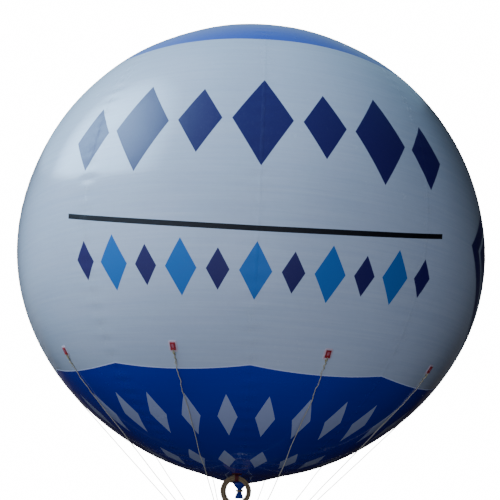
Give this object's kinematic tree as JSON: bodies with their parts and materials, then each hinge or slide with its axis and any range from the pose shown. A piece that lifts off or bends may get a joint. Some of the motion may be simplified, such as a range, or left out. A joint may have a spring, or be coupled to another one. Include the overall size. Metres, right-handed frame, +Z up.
{
  "type": "round advertising sky balloon",
  "caption": "Round gas-filled advertising balloon of film gores with a top cap, a lower band, load patches and lines gathered to a knot with a mooring swivel.",
  "frame": {"origin": "middle of the ball at its widest ring, where the surrounding air holds it up", "axes": "+Z up along the ball's own axis from the neck to the crown, -Y towards the seam that faces the viewer"},
  "size_m": [3.6488, 3.6488, 4.4022],
  "materials": {
    "white_film": "gloss",
    "blue_film": "gloss",
    "red_webbing": "matte",
    "cream_line": "matte",
    "hemp_rope": "matte",
    "zinc_steel": "satin"
  },
  "bodies": {
    "balloon": {"gore_white_01": "white_film", "gore_white_02": "white_film", "gore_white_03": "white_film", "gore_white_04": "white_film", "gore_white_05": "white_film", "gore_white_06": "white_film", "gore_white_07": "white_film", "gore_white_08": "white_film", "gore_white_09": "white_film", "gore_white_10": "white_film", "gore_blue_01": "blue_film", "gore_blue_02": "blue_film", "gore_blue_03": "blue_film", "gore_blue_04": "blue_film", "gore_blue_05": "blue_film", "gore_blue_06": "blue_film", "gore_blue_07": "blue_film", "gore_blue_08": "blue_film", "gore_blue_09": "blue_film", "gore_blue_10": "blue_film", "top_cap": "blue_film", "crown_patch": "blue_film", "base_disc": "blue_film", "filling_neck": "blue_film", "neck_binding": "hemp_rope", "load_patch_01": "red_webbing", "load_patch_02": "red_webbing", "load_patch_03": "red_webbing", "load_patch_04": "red_webbing", "load_patch_05": "red_webbing", "load_patch_06": "red_webbing", "load_patch_07": "red_webbing", "load_patch_08": "red_webbing", "load_patch_09": "red_webbing", "load_patch_10": "red_webbing", "load_line_01": "cream_line", "load_line_02": "cream_line", "load_line_03": "cream_line", "load_line_04": "cream_line", "load_line_05": "cream_line", "load_line_06": "cream_line", "load_line_07": "cream_line", "load_line_08": "cream_line", "load_line_09": "cream_line", "load_line_10": "cream_line", "gathering_knot": "cream_line", "swivel_barrel": "zinc_steel", "coil_hanger": "red_webbing", "rope_coil": "hemp_rope"},
    "mooring_swivel": {"swivel_eye": "zinc_steel"}
  },
  "joints": [
    {"name": "swivel_turn", "type": "hinge", "parent": "balloon", "child": "mooring_swivel", "pos_m": [0, 0, -2.49716], "axis": [0, 0, 1], "continuous": true}
  ]
}
